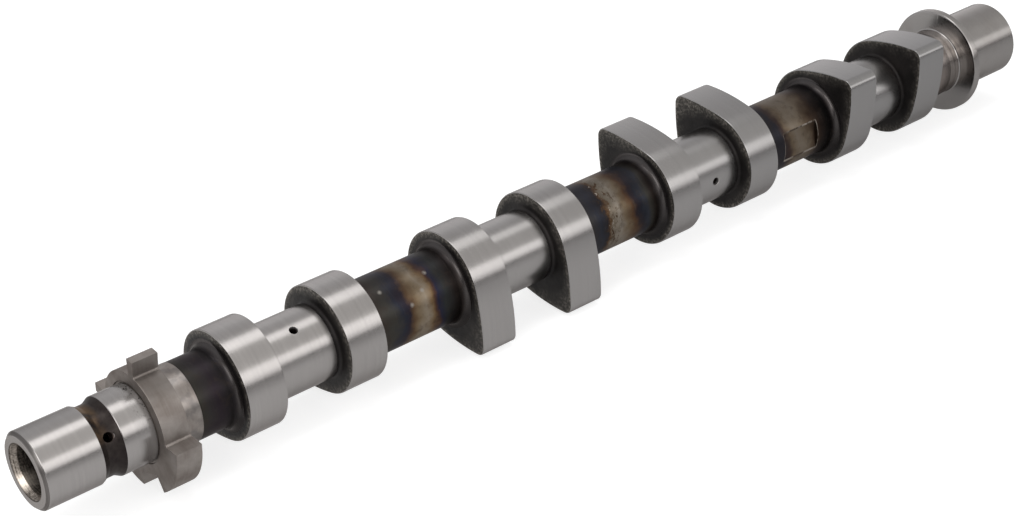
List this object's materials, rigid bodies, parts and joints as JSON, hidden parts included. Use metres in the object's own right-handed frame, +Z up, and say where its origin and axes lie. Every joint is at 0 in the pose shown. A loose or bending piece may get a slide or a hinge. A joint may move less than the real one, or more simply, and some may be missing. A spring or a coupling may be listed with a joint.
{
  "type": "engine camshaft",
  "caption": "One-piece overhead camshaft with paired lobes, ground journals, a toothed trigger ring near the nose, a thrust flange and a rear drive stub.",
  "frame": {"origin": "centre of the nose face, on the shaft's axis", "axes": "+X along the shaft from the nose to the rear stub, +Z up as the shaft lies at rest"},
  "size_m": [0.4227, 0.044, 0.044],
  "materials": {
    "cast_steel": "ground bright on lobes, journals and nose, dark as-cast skin with heat colours between them"
  },
  "bodies": {
    "root": {"camshaft": "cast_steel"}
  },
  "joints": []
}
